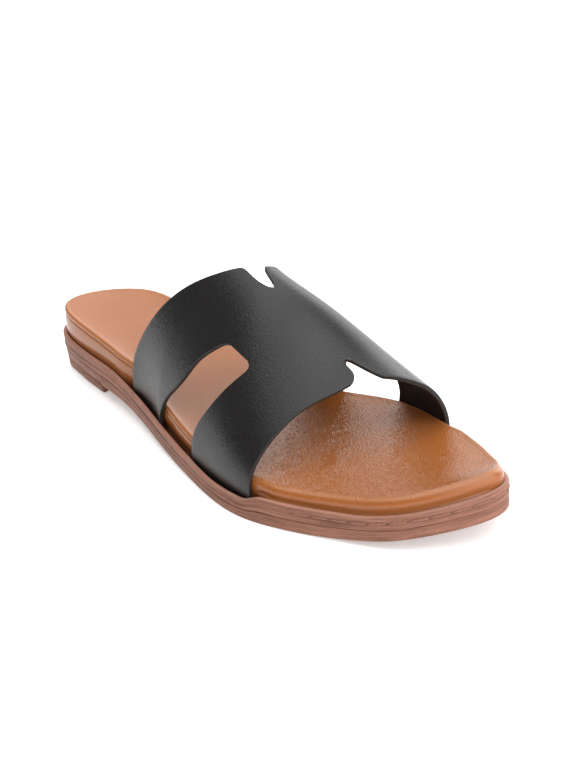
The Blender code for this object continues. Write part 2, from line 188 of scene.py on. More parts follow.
# Wall of the wrapped footbed, from its top edge down: how deep, how far in, and how far in at the toe
WallRow = namedtuple("WallRow", "depth inset toe_inset")
FOOTBED_EDGE = (
    WallRow(0.00025, 0.00190, 0.00440),
    WallRow(0.00008, 0.00150, 0.00395),
    WallRow(0.00003, 0.00110, 0.00350),
    WallRow(0.00014, 0.00070, 0.00260),
    WallRow(0.00040, 0.00032, 0.00185),
    WallRow(0.00080, 0.00008, 0.00120),
    WallRow(0.00130, 0.00000, 0.00070),
    WallRow(0.00170, 0.00014, 0.00045),
    WallRow(0.00205, 0.00038, 0.00030),
    WallRow(0.00235, 0.00056, 0.00020),
    WallRow(0.00265, 0.00042, 0.00012),
    WallRow(0.00300, 0.00018, 0.00005),
    WallRow(0.00350, 0.00004, 0.00000),
)
WALL_UPPER_STEPS = 8
WALL_SEAT_STEPS = 3
WALL_FOOT_INSET = RIM_WIDTH + SEAT_GAP
WALL_FOOT_FROM = 0.8
WALL_BULGE = 0.0003
WALL_HOLLOW = 0.0001
WALL_SUNK = 0.0006
GROOVE_FADE_FROM = 0.52
GROOVE_FADE_TO = 0.66
INNER_ROLL_FROM = 0.945
INNER_ROLL_TO = 0.99

# Levels that the wall's UV has where it meets the rim and at its seat, by which the painted shade at the
# wall's foot is laid on
RIM_LEVEL = 0.0100
SEAT_LEVEL = 0.0150

# Where the wall hangs over the rim, where it stands in for the legs, and where its inner edge is higher
HEEL_OVERHANG = 0.0010
HEEL_OVERHANG_TO = 0.16
CORNER_OVERHANG = 0.0012
CORNER_AT = math.radians(190.0)
CORNER_REACH = math.radians(24.0)
LEG_ROOM = 0.0018
LEG_ROOM_FOOT = 0.9
LEG_ROOM_EASE = 0.0140
POCKET_EASE = 0.0035
INNER_RISE = 0.0014
INNER_RISE_FROM = 0.45
INNER_RISE_EASE = 0.20
INNER_RISE_TO = 0.97
INNER_RISE_TOE_EASE = 0.09
DISH_FLATNESS = 4

# The band's cut edge from its outer face to its lining: depth through the leather and inset from the cut line
CutRow = namedtuple("CutRow", "depth inset")
CUT_EDGE = (
    CutRow(0.00000, 0.00042),
    CutRow(0.00004, 0.00022),
    CutRow(0.00014, 0.00008),
    CutRow(0.00030, 0.00000),
    CutRow(0.00095, 0.00000),
    CutRow(0.00112, 0.00008),
    CutRow(0.00120, 0.00020),
    CutRow(0.00128, 0.00008),
    CutRow(0.00142, 0.00003),
    CutRow(0.00180, 0.00008),
    CutRow(0.00194, 0.00020),
    CutRow(0.00200, 0.00040),
)

# Moulded stitches round the toe
STITCH_FROM = math.acos(1.0 - 2.0 * 0.70)
STITCH_PITCH = 0.0088
STITCH_LENGTH = 0.0078
STITCH_LEVEL = 0.0087
STITCH_RADIUS = 0.00062
STITCH_INSET = 0.00045
# The stitches' level falls partly in the rim line's painted highlight, which makes them paler
STITCH_TONE_LEVEL = 0.0114
STITCH_TWIST = 0.20
STITCH_STRAND = 0.0022
STITCH_STEPS = 28
STITCH_SIDES = 10
STITCH_BLUNTNESS = 6

# How finely the skins are cut
PLAN_STEPS = 480
ACROSS_STEPS = 28
ARC_STEP = 0.0068
NOTCH_STEP = 0.0014
CORNER_STEPS = 9
LEG_ROWS = 18
BRIDGE_ROWS = 14
TUCK_ROWS = 3
ROUND_STEPS = 3
UNDERSIDE_STEPS = 6
HIDDEN_STEPS = 2
CORNER_FROM = -0.2
CORNER_PAST = 1.1

# How finely lengths and places are worked out
WIDTH_SAMPLES = 401
ARC_SAMPLES = 61
REACH_SAMPLES = 4
HALVINGS = 30
SMALL_STEP = 1e-3

# Colours of the finishes
LEATHER_DARK = (0.0085, 0.0078, 0.0072)
LEATHER_PALE = (0.0140, 0.0130, 0.0125)
CUT_DARK = (0.010, 0.009, 0.008)
CUT_PALE = (0.024, 0.020, 0.018)
LINING_DARK = (0.010, 0.007, 0.006)
LINING_PALE = (0.034, 0.024, 0.021)
TAN_DARK = (0.262, 0.082, 0.020)
TAN_PALE = (0.328, 0.110, 0.030)
# Painted highlight on the footbed's crest, painted shade in its groove and down its wall's foot
TAN_PAINTED_HIGHLIGHT = (0.46, 0.22, 0.10)
TAN_PAINTED_GROOVE_SHADE = (0.34, 0.095, 0.018)
TAN_PAINTED_FOOT_SHADE = (0.070, 0.022, 0.008)
RUBBER_DARK = (0.135, 0.052, 0.031)
RUBBER_PALE = (0.340, 0.152, 0.098)
# Painted highlight on the sole's rim line, painted shade in its recess and in its stitch channel
RUBBER_PAINTED_HIGHLIGHT = (0.42, 0.22, 0.165)
RUBBER_PAINTED_SHADE = (0.060, 0.020, 0.010)
RUBBER_PAINTED_CHANNEL_SHADE = (0.110, 0.045, 0.028)
FLOOR_DARK = (0.80, 0.80, 0.80)
FLOOR_PALE = (0.82, 0.82, 0.82)
WHITE = (1.0, 1.0, 1.0, 1.0)

# Depths on the footbed's wall and levels on the sole's side between which a tone rises and falls again, or
# only rises where two are given: painted highlights on the footbed's crest and the sole's rim line, painted
# shade in the footbed's groove, at the wall's foot, in the sole's recess and in its stitch channel
PAINTED_HIGHLIGHT_DEPTHS = (0.00002, 0.0002, 0.0005, 0.0011)
GROOVE_PAINTED_SHADE_LIMITS = (0.0016, 0.0022, 0.0027, 0.0034)
FOOT_PAINTED_SHADE_DEPTHS = (0.0078, 0.0102)
RIM_PAINTED_HIGHLIGHT_LEVELS = (0.0112, 0.0118, 0.0134, 0.0141)
CHANNEL_PAINTED_SHADE_LEVELS = (0.0078, 0.0083, 0.0091, 0.0096)
RECESS_PAINTED_SHADE_LEVELS = (0.0139, 0.0154)

# Stretches of the foot, in Y, over which a look changes: the ripples, the painted shade at the wall's foot
# and in the recess, and the painted shade in the stitch channel
RIPPLES_RISE = (-0.035, 0.030)
PAINTED_SHADE_STRETCH = (0.0, 0.05)
CHANNEL_PAINTED_SHADE_RISES = (0.02, 0.07)

# Spans that noise is spread from, and spans of roughness and strength that it is spread to
NOISE_SPAN = (0.3, 0.7)
TAN_SPAN = (0.3, 0.9)
RUBBER_SPAN = (0.36, 0.64)
TOP_FACING = (0.80, 0.97)
LEATHER_ROUGHNESS = (0.25, 0.31)
FOOTBED_ROUGHNESS = (0.16, 0.20)
RIPPLE_STRENGTHS = (0.6, 4.2)
WALL_RELIEF = 0.30
# How strongly the painted shade and the painted highlights are laid on
FOOT_PAINTED_SHADE_STRENGTHS = (0.8, 0.35)
RECESS_PAINTED_SHADE_STRENGTHS = (0.85, 0.35)
CHANNEL_PAINTED_SHADE_STRENGTHS = (0.0, 0.35)
RIM_PAINTED_HIGHLIGHT_STRENGTH = 0.5
PAINTED_HIGHLIGHT_STRENGTH = 0.20
GROOVE_PAINTED_SHADE_STRENGTH = 0.5

# Cells and grains to the metre, and the height of each relief in metres
LEATHER_PEBBLES = 1500.0
LEATHER_CREASES = 1400.0
LEATHER_PATCHES = 60.0
LEATHER_RELIEF = 0.00012
CUT_FIBRES = 1500.0
CUT_RELIEF = 0.00012
LINING_FIBRES = 1200.0
LINING_RELIEF = 0.0002
FOOTBED_WARP = 120.0
FOOTBED_WARP_REACH = 0.0030
FOOTBED_RIPPLES = 1500.0
FOOTBED_PORES = 1250.0
FOOTBED_PATCHES = 26.0
FOOTBED_RELIEF = 0.00013
RUBBER_WAVES = 55.0
RUBBER_WAVE_HEIGHT = 0.0009
RUBBER_LINES = (90.0, 2300.0)
RUBBER_LAYERS = (25.0, 420.0)
RUBBER_GRIT = 1100.0
RUBBER_RELIEF = 0.00026

# Floor and soft lamp
FLOOR_HALF = 4.0
FLOOR_SUNK = 0.0002
FLOOR_GLOW = 0.36
FLOOR_GRAIN = 60.0
LAMP_AT = (0.2, -0.5, 1.6)
LAMP_SIDE = 1.2
LAMP_POWER = 2.5

# Soft glows of the studio: where they stand, how wide they are fully bright and how wide in all, in degrees
Glow = namedtuple("Glow", "azimuth elevation inner outer strength")
SURROUND = 0.19
GLOWS = (
    Glow(0.0, 90.0, 22.0, 46.0, 2.1),
    Glow(-137.0, 34.0, 10.0, 38.0, 1.75),
    Glow(-172.0, 18.0, 8.0, 34.0, 2.6),
    Glow(95.0, 26.0, 20.0, 56.0, 2.6),
)

# Camera: where it stands, which way it looks, its roll and its lens
CAMERA_AT = (0.7261, 0.9244, 0.6994)
CAMERA_AXIS = (-0.5422, -0.6784, -0.4957)
CAMERA_ROLL = math.radians(-5.77)
CAMERA_LENS = 150.0
SENSOR_HEIGHT = 36.0


def ease(share):
    """0 to 1 with a level start and end."""
    return 0.5 - 0.5 * np.cos(np.pi * np.clip(share, 0.0, 1.0))


def curve_through(rows, column):
    """Natural cubic curve through one column of a table, as a function of the table's first column."""
    x = np.array([row[0] for row in rows])
    y = np.array([getattr(row, column) for row in rows])
    step = np.diff(x)
    slope = np.diff(y) / step
    count = len(x)
    system = np.eye(count)
    bend = np.zeros(count)
    for k in range(1, count - 1):
        system[k, k - 1 : k + 2] = step[k - 1], 2.0 * (step[k - 1] + step[k]), step[k]
        bend[k] = 6.0 * (slope[k] - slope[k - 1])
    bend = np.linalg.solve(system, bend)

    def at(value):
        value = np.clip(value, x[0], x[-1])
        k = np.clip(np.searchsorted(x, value, side="right") - 1, 0, count - 2)
        left = value - x[k]
        right = x[k + 1] - value
        ends = (bend[k] * right**3 + bend[k + 1] * left**3) / (6.0 * step[k])
        from_left = (y[k] / step[k] - bend[k] * step[k] / 6.0) * right
        from_right = (y[k + 1] / step[k] - bend[k + 1] * step[k] / 6.0) * left
        return ends + from_left + from_right

    return at


PLAN_FULLNESS = curve_through(SOLE_PLAN, "fullness")
PLAN_CENTRE = curve_through(SOLE_PLAN, "centre")
RIDGE_HEIGHT = curve_through(RIDGE, "height")
EDGE_LINES = [curve_through(BAND_EDGES, column) for column in ("rear", "slot_rear", "slot_front", "front")]


def along_y(share):
    """The Y of a share along the foot."""
    return (share - 0.5) * SOLE_LENGTH


def half_width(share):
    """Half of the sole's width at a share along the foot."""
    inside = np.clip(share, 0.0, 1.0)
    return PLAN_FULLNESS(inside) * BALL_WIDTH * 2.0 * np.sqrt(inside * (1.0 - inside))


def plan_shift():
    """How far the plan moves in X so that its two sides lie at equal distance from the origin."""
    shares = np.linspace(0.0, 1.0, WIDTH_SAMPLES)
    middle = PLAN_CENTRE(shares) * BALL_WIDTH
    return -0.5 * ((middle + half_width(shares)).max() + (middle - half_width(shares)).min())


PLAN_SHIFT = plan_shift()


def centre(share):
    """X of the sole's centre line."""
    return PLAN_CENTRE(share) * BALL_WIDTH + PLAN_SHIFT


def plan_share(turn):
    """Share along the foot of a turn round the plan: 0 at the heel, pi at the toe, outer side first."""
    return 0.5 - 0.5 * np.cos(turn)


def plan_edge(turn):
    """The sole's outline in plan."""
    share = plan_share(turn)
    side = np.copysign(1.0, np.sin(turn))
    return np.stack([centre(share) + side * half_width(share), along_y(share)], axis=-1)


def plan_point(turn, inset):
    """The outline moved inwards by inset, square to itself."""
    ahead = plan_edge(turn + SMALL_STEP) - plan_edge(turn - SMALL_STEP)
    outward = np.stack([ahead[..., 1], -ahead[..., 0]], axis=-1)
    outward /= np.linalg.norm(ahead, axis=-1, keepdims=True)
    return plan_edge(turn) - outward * np.asarray(inset)[..., None]


def tread_height(share):
    """Underside of the sole's band."""
    heel = HEEL_LIFT * ease((ARCH_TO - share) / (ARCH_TO - ARCH_FROM))
    toe_way = np.maximum(share - TOE_SPRING_FROM, 0.0) / (1.0 - TOE_SPRING_FROM)
    return heel + TOE_SPRING * toe_way**2


def base_height(share):
    """Height of the sole's band without its dip. Footbed and leather band are set out from it."""
    return tread_height(share) + SOLE_BAND


def rim_height(share):
    """Top of the sole's rim, which is lower beside the band's legs."""
    dip = 0.0
    for row, after in zip(RIM_DIPS, RIM_DIPS[1:]):
        dip = dip + (after.dip - row.dip) * ease((share - row.along) / (after.along - row.along))
    return base_height(share) - RIM_DIP * dip


def footbed_height(share):
    """Top edge of the footbed: a wedge that falls from the heel to the ball."""
    to_ball = ease(share / FOOTBED_LEVEL_AT)
    to_toe = ease((share - FOOTBED_LEVEL_AT) / (1.0 - FOOTBED_LEVEL_AT))
    rise = FOOTBED_RISE_HEEL + (FOOTBED_RISE_BALL - FOOTBED_RISE_HEEL) * to_ball
    return base_height(share) + rise + (FOOTBED_RISE_TOE - FOOTBED_RISE_BALL) * to_toe


def section_sides(turn):
    """X and Z of the band's section on unit sizes, for a turn of 0 at the outer base to pi."""
    scale = 1.0 + SECTION_FLATNESS
    across = (np.cos(turn) + SECTION_FLATNESS * np.cos(3.0 * turn)) / scale
    up = (np.sin(turn) - SECTION_FLATNESS * np.sin(3.0 * turn)) / scale
    return across, np.maximum(up, 0.0)


def band_base(share):
    """Centre X, half width and ridge height of the band's section, over its base."""
    half = half_width(share) - RIM_WIDTH - LEG_CLEARANCE
    return centre(share), half, INSTEP_HEIGHT * RIDGE_HEIGHT(share)


def arc_length():
    """Length of the band over the ridge, from base to base, at the middle of its slots."""
    middle, half, height = band_base(EDGE_LINES[2](0.5))
    across, up = section_sides(np.linspace(0.0, np.pi, ARC_SAMPLES))
    points = np.stack([middle + half * across, height * up], axis=-1)
    return np.linalg.norm(np.diff(points, axis=0), axis=1).sum()


ARC_LENGTH = arc_length()


def notch(row, arc):
    """Depth of a notch around the band: a round lip, a steep outer wall and an easier inner flank."""
    if arc < row.wall:
        way = max(1.0 - (row.wall - arc) * ARC_LENGTH / row.lip, 0.0)
        return row.lip * (1.0 - math.sqrt(1.0 - way**2))
    if arc < row.bottom:
        left = (row.bottom - arc) / (row.bottom - row.wall)
        return row.lip + (row.depth - row.lip) * (1.0 - left**WALL_POWER) ** (1.0 / WALL_POWER)
    way = min((arc - row.bottom) / (row.end - row.bottom), 1.0)
    return row.depth * (1.0 - ease(way**row.flank))


def corner(arc):
    """How far a slot's side turns in at its end. Past the end, the grid's lines ease back."""
    if abs(arc - OUTER_SLOT_END) < abs(arc - INNER_SLOT_END):
        short = (OUTER_SLOT_END - arc) * ARC_LENGTH
    else:
        short = (arc - INNER_SLOT_END) * ARC_LENGTH
    if short >= SLOT_CORNER:
        return 0.0
    if short < 0.0:
        return SLOT_CORNER / SOLE_LENGTH * (1.0 - ease(-short / SLOT_CORNER_EASE))
    into = SLOT_CORNER - short
    return (SLOT_CORNER - math.sqrt(SLOT_CORNER**2 - into**2)) / SOLE_LENGTH


def band_lines(arc):
    """Shares along the foot of the rear edge, both slot lines and the front edge."""
    rear, slot_rear, slot_front, front = (float(line(arc)) for line in EDGE_LINES)
    rear += notch(REAR_NOTCH, arc) / SOLE_LENGTH
    front -= notch(FRONT_NOTCH, arc) / SOLE_LENGTH
    turned = corner(arc)
    return rear, slot_rear + turned, slot_front - turned, front


def leg_spans():
    """Side and ends of the four legs at their base, as shares along the foot."""
    spans = []
    for side, arc in ((1, 0.0), (-1, 1.0)):
        rear, slot_rear, slot_front, front = band_lines(arc)
        spans += [(side, rear, slot_rear), (side, slot_front, front)]
    return spans


LEG_SPANS = leg_spans()


def leg_bow(side, share, over_base):
    """How far a leg's middle stands in from the rim's curve near its base, because leather is flat there."""
    reach = np.where(side > 0, OUTER_BOW_REACH, INNER_BOW_REACH)
    fade = 1.0 - ease(np.maximum(over_base, 0.0) / reach)
    bow = np.zeros_like(share)
    for leg_side, start, end in LEG_SPANS:
        way = np.clip((share - start) / (end - start), 0.0, 1.0)
        bow += np.where(side == leg_side, LEG_BOW * fade * 4.0 * way * (1.0 - way), 0.0)
    return bow


def band_point(arc, share):
    """A point of the band's outer face."""
    middle, half, height = band_base(share)
    across, up = section_sides(np.pi * arc)
    side = np.where(arc < 0.5, 1.0, -1.0)
    over_base = height * up
    x = middle + half * across - RIDGE_SHIFT * up**LEAN_POWER - side * leg_bow(side, share, over_base)
    return np.stack([x, along_y(share), base_height(share) + over_base], axis=-1)


def band_normal(arc, share):
    """Outward direction of the band's outer face."""
    inside = np.clip(arc, SMALL_STEP, 1.0 - SMALL_STEP)
    round_the_foot = band_point(inside + SMALL_STEP, share) - band_point(inside - SMALL_STEP, share)
    along_the_foot = band_point(inside, share + SMALL_STEP) - band_point(inside, share - SMALL_STEP)
    outward = np.cross(along_the_foot, round_the_foot)
    return outward / np.linalg.norm(outward, axis=-1, keepdims=True)


def band_inside(side, share, z):
    """X of the band's inner face at one side of the foot, at a height."""
    middle, half, height = band_base(share)
    over_base = z - base_height(share)
    up_wanted = np.maximum(over_base, 0.0) / height
    low = np.zeros_like(share)
    high = np.full_like(share, 0.5 * np.pi)
    for _ in range(HALVINGS):
        turn = 0.5 * (low + high)
        below = section_sides(turn)[1] < up_wanted
        low = np.where(below, turn, low)
        high = np.where(below, high, turn)
    across, up = section_sides(low)
    outside = half * across - leg_bow(side, share, over_base)
    slope = np.hypot(1.0, 2.0 * half * (1.0 - across) / np.maximum(over_base, UPPER_WALL))
    return middle - RIDGE_SHIFT * up**LEAN_POWER + side * (outside - UPPER_WALL * slope)


def leg_reach():
    """Side and ends of the legs over the low part of the band that passes the footbed's wall."""
    spans = []
    margin = POCKET_MARGIN / SOLE_LENGTH
    ups = [FOOTBED_ARC * step / (REACH_SAMPLES - 1) for step in range(REACH_SAMPLES)]
    for side, base_arc in ((1, 0.0), (-1, 1.0)):
        lines = [band_lines(abs(base_arc - up)) for up in ups]
        for first, last in ((0, 1), (2, 3)):
            start = min(line[first] for line in lines)
            end = max(line[last] for line in lines)
            spans.append((side, start - margin, end + margin))
    return spans


LEG_REACH = leg_reach()
SIDE_REACH = [(rear[0], rear[1], front[2]) for rear, front in (LEG_REACH[:2], LEG_REACH[2:])]


def beside_spans(spans, side, share, width):
    """1 beside a span of its side of the foot, easing to 0 over a width past the span's ends."""
    covered = np.zeros_like(share)
    for span_side, start, end in spans:
        past = np.maximum(np.maximum(start - share, share - end), 0.0) * SOLE_LENGTH
        covered = np.maximum(covered, np.where(side == span_side, 1.0 - ease(past / width), 0.0))
    return covered


def beside_legs(points):
    """Points of the footbed's wall, moved in where a leg passes them."""
    share = points[:, 1] / SOLE_LENGTH + 0.5
    side = np.where(points[:, 0] > centre(np.clip(share, 0.0, 1.0)), 1.0, -1.0)
    covered = beside_spans(LEG_REACH, side, share, POCKET_EASE)
    limit = band_inside(side, share, points[:, 2]) - side * LEG_CLEARANCE
    inner = np.where(side > 0, np.minimum(points[:, 0], limit), np.maximum(points[:, 0], limit))
    moved = points.copy()
    moved[:, 0] += (inner - points[:, 0]) * covered
    return moved


def level_rows(share, ways, points):
    """Rows of points across the foot, left as they are."""
    return points


def softened(rows, radius):
    """A profile whose corners are rounded by short curves."""
    corners = np.array([tuple(row) for row in rows])
    points = [corners[0]]
    for before, here, after in zip(corners, corners[1:], corners[2:]):
        back, ahead = before - here, after - here
        start = here + back * min(ROUND_AT_MOST, radius / np.linalg.norm(back))
        end = here + ahead * min(ROUND_AT_MOST, radius / np.linalg.norm(ahead))
        for step in range(ROUND_STEPS + 1):
            way = step / ROUND_STEPS
            points.append((1.0 - way) ** 2 * start + 2.0 * way * (1.0 - way) * here + way**2 * end)
    points.append(corners[-1])
    return np.array(points)


class Skin:
    """Points and faces of one piece while it is put together."""

    def __init__(self):
        self.points = []
        self.faces = []
        self.uvs = []
        self.finish = []

    def add_points(self, points):
        """Add points and give their numbers."""
        first = len(self.points)
        self.points.extend(map(tuple, points))
        return list(range(first, len(self.points)))

    def add_face(self, corners, finish=0, uvs=None):
        """Add one face."""
        self.faces.append(corners)
        self.finish.append(finish)
        self.uvs.append(uvs or [(0.0, 0.0)] * len(corners))

    def add_wall(self, low, high, run, low_v, high_v):
        """Faces between two closed rings, with the run along them and the level as their UV."""
        count = len(low)
        for k in range(count):
            after = (k + 1) % count
            corners = (low[k], low[after], high[after], high[k])
            uvs = [(run[k], low_v), (run[k + 1], low_v), (run[k + 1], high_v), (run[k], high_v)]
            self.add_face(corners, uvs=uvs)

    def add_ladder(self, ring, across, shaped, upwards=True):
        """Close a ring of the plan with rows of points across the foot, moved by a shape function."""
        half = len(ring) // 2
        points = np.array(self.points)
        ways = np.linspace(0.0, 1.0, across + 1)[1:-1]
        rows = []
        for k in range(1, half):
            outer, inner = points[ring[k]], points[ring[-k]]
            between = outer + (inner - outer) * ways[:, None]
            row = self.add_points(shaped(plan_share(2.0 * np.pi * k / len(ring)), ways, between))
            rows.append([ring[k], *row, ring[-k]])
        turned = 1 if upwards else -1
        for tip, row in ((ring[0], rows[0]), (ring[half], rows[-1][::-1])):
            for a, b in zip(row, row[1:]):
                self.add_face((tip, a, b)[::turned])
        for row, after in zip(rows, rows[1:]):
            for j in range(across):
                self.add_face((row[j], after[j], after[j + 1], row[j + 1])[::turned])

    def make(self, name, finishes):
        """The finished piece."""
        mesh = bpy.data.meshes.new(name)
        mesh.from_pydata(self.points, [], self.faces)
        for finish in finishes:
            mesh.materials.append(finish)
        mesh.polygons.foreach_set("material_index", self.finish)
        layer = mesh.uv_layers.new(name="run_and_level")
        layer.data.foreach_set("uv", [value for face in self.uvs for uv in face for value in uv])
        mesh.shade_smooth()
        mesh.update()
        piece = bpy.data.objects.new(name, mesh)
        bpy.context.scene.collection.objects.link(piece)
        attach(piece, "root")
        return piece


TURNS = np.linspace(0.0, 2.0 * np.pi, PLAN_STEPS + 1)[:-1]
SHARES = plan_share(TURNS)


def outline_run():
    """Length along the outline from the heel's back, at each turn and once more at the close."""
    edge = plan_edge(np.append(TURNS, TURNS[0]))
    return np.append(0.0, np.cumsum(np.linalg.norm(np.diff(edge, axis=0), axis=1)))


RUN = outline_run()


def plan_ring(inset, z):
    """One ring of points round the plan."""
    flat = plan_point(TURNS, inset)
    return np.column_stack([flat, np.broadcast_to(z, len(TURNS))])


def add_node(tree, kind, inputs=None, **settings):
    """A shader node with its settings, and its inputs set or linked."""
    node = tree.nodes.new(kind)
    for key, value in settings.items():
        setattr(node, key, value)
    for key, value in (inputs or {}).items():
        if isinstance(value, bpy.types.NodeSocket):
            tree.links.new(value, node.inputs[key])
        else:
            node.inputs[key].default_value = value
    return node


def maths(tree, operation, first, second=0.0):
    """Result of a sum on one or two values."""
    return add_node(tree, "ShaderNodeMath", {0: first, 1: second}, operation=operation).outputs[0]


def spread(tree, value, low, high, to_low=0.0, to_high=1.0):
    """A value moved from one range to another, held at the ends."""
    inputs = {"Value": value, "From Min": low, "From Max": high, "To Min": to_low, "To Max": to_high}
    return add_node(tree, "ShaderNodeMapRange", inputs, clamp=True).outputs["Result"]


def stripe(tree, value, limits):
    """1 between the middle two of four limits, rising before them and falling after them."""
    rise_from, rise_to, fall_from, fall_to = limits
    falling = spread(tree, value, fall_from, fall_to, 1.0, 0.0)
    return maths(tree, "MULTIPLY", spread(tree, value, rise_from, rise_to), falling)


def weighted(tree, first, first_part, second, second_part):
    """Two values added up, each with its own weight."""
    first = maths(tree, "MULTIPLY", first, first_part)
    return maths(tree, "ADD", first, maths(tree, "MULTIPLY", second, second_part))


def noise(tree, where, scale, detail, roughness=0.5, distortion=0.0):
    """Soft random value from 0 to 1."""
    inputs = {"Vector": where, "Scale": scale, "Detail": detail, "Roughness": roughness}
    inputs["Distortion"] = distortion
    return add_node(tree, "ShaderNodeTexNoise", inputs).outputs["Fac"]


def cells(tree, where, scale):
    """Distance pattern of random cells with soft borders."""
    inputs = {"Vector": where, "Scale": scale, "Randomness": 1.0}
    return add_node(tree, "ShaderNodeTexVoronoi", inputs, feature="SMOOTH_F1").outputs["Distance"]


def blend_colours(tree, share, first, second):
    """Two colours mixed by a share."""
    mix = add_node(tree, "ShaderNodeMix", data_type="RGBA")
    colours = [socket for socket in mix.inputs if socket.type == "RGBA"]
    tree.links.new(share, mix.inputs[0])
    for socket, value in zip(colours, (first, second)):
        if isinstance(value, bpy.types.NodeSocket):
            tree.links.new(value, socket)
        else:
            socket.default_value = (*value, 1.0)
    return next(socket for socket in mix.outputs if socket.type == "RGBA")


def new_finish(name, sockets):
    """A material with constant values on its shader. Gives the material, its tree and its shader."""
    made = bpy.data.materials.new(name)
    made.use_nodes = True
    shader = made.node_tree.nodes["Principled BSDF"]
    for key, value in sockets.items():
        shader.inputs[key].default_value = value
    return made, made.node_tree, shader


def use_bump(tree, shader, height, distance, strength):
    """Drive the shader's normal by a height."""
    inputs = {"Height": height, "Distance": distance, "Strength": strength}
    tree.links.new(add_node(tree, "ShaderNodeBump", inputs).outputs["Normal"], shader.inputs["Normal"])


def object_space(tree):
    """Place in metres."""
    return add_node(tree, "ShaderNodeTexCoord").outputs["Object"]


def part_of(tree, vector, name):
    """One of the X, Y and Z values of a vector."""
    return add_node(tree, "ShaderNodeSeparateXYZ", {0: vector}).outputs[name]


def run_and_level(tree):
    """Run along the outline and level, or depth under the top edge, in metres."""
    where = add_node(tree, "ShaderNodeUVMap", uv_map="run_and_level").outputs[0]
    parts = add_node(tree, "ShaderNodeSeparateXYZ", {0: where})
    return parts.outputs["X"], parts.outputs["Y"]


def stretched(tree, where, scale, turn=0.0):
    """Place turned back about Z, in degrees, then scaled: a pattern is drawn out along a turned axis."""
    drawn_out = tuple(1.0 / part for part in scale)
    inputs = {"Vector": where, "Scale": drawn_out, "Rotation": (0.0, 0.0, math.radians(turn))}
    return add_node(tree, "ShaderNodeMapping", inputs, vector_type="TEXTURE").outputs["Vector"]


def leather_finish():
    """Black leather with a fine pebbled grain and a satin sheen."""
    made, tree, shader = new_finish("upper_leather", {"Roughness": 0.28, "Specular IOR Level": 0.36})
    where = object_space(tree)
    pebbles = cells(tree, stretched(tree, where, (1.0, 0.7, 1.0), 35.0), LEATHER_PEBBLES)
    creases = stretched(tree, where, (1.0, 0.6, 1.0), -20.0)
    creases = noise(tree, creases, LEATHER_CREASES, 3.0, 0.5, 0.5)
    patches = noise(tree, where, LEATHER_PATCHES, 3.0, 0.6)
    use_bump(tree, shader, weighted(tree, pebbles, 0.45, creases, 1.0), LEATHER_RELIEF, 1.0)
    rough = spread(tree, patches, *NOISE_SPAN, *LEATHER_ROUGHNESS)
    tree.links.new(rough, shader.inputs["Roughness"])
    colour = blend_colours(tree, spread(tree, creases, *NOISE_SPAN), LEATHER_DARK, LEATHER_PALE)
    tree.links.new(colour, shader.inputs["Base Color"])
    return made


def cut_finish():
    """Painted cut edge of the leather."""
    made, tree, shader = new_finish("band_cut_edge", {"Roughness": 0.5, "Specular IOR Level": 0.4})
    fibres = noise(tree, object_space(tree), CUT_FIBRES, 3.0, 0.6)
    use_bump(tree, shader, fibres, CUT_RELIEF, 0.6)
    tree.links.new(blend_colours(tree, fibres, CUT_DARK, CUT_PALE), shader.inputs["Base Color"])
    return made


def lining_finish():
    """Dark brown lining with short fibres."""
    made, tree, shader = new_finish("band_lining", {"Roughness": 0.75, "Specular IOR Level": 0.25})
    where = stretched(tree, object_space(tree), (1.0, 0.45, 1.0))
    fibres = noise(tree, where, LINING_FIBRES, 4.0, 0.65, 0.4)
    use_bump(tree, shader, fibres, LINING_RELIEF, 0.7)
    tree.links.new(blend_colours(tree, fibres, LINING_DARK, LINING_PALE), shader.inputs["Base Color"])
    return made


def warped(tree, where):
    """Place moved about a little, so that a pattern on it wanders."""
    inputs = {"Vector": where, "Scale": FOOTBED_WARP, "Detail": 1.0}
    warp = add_node(tree, "ShaderNodeTexNoise", inputs).outputs["Color"]
    inputs = {0: warp, "Scale": FOOTBED_WARP_REACH}
    bent = add_node(tree, "ShaderNodeVectorMath", inputs, operation="SCALE").outputs[0]
    return add_node(tree, "ShaderNodeVectorMath", {0: where, 1: bent}, operation="ADD").outputs[0]


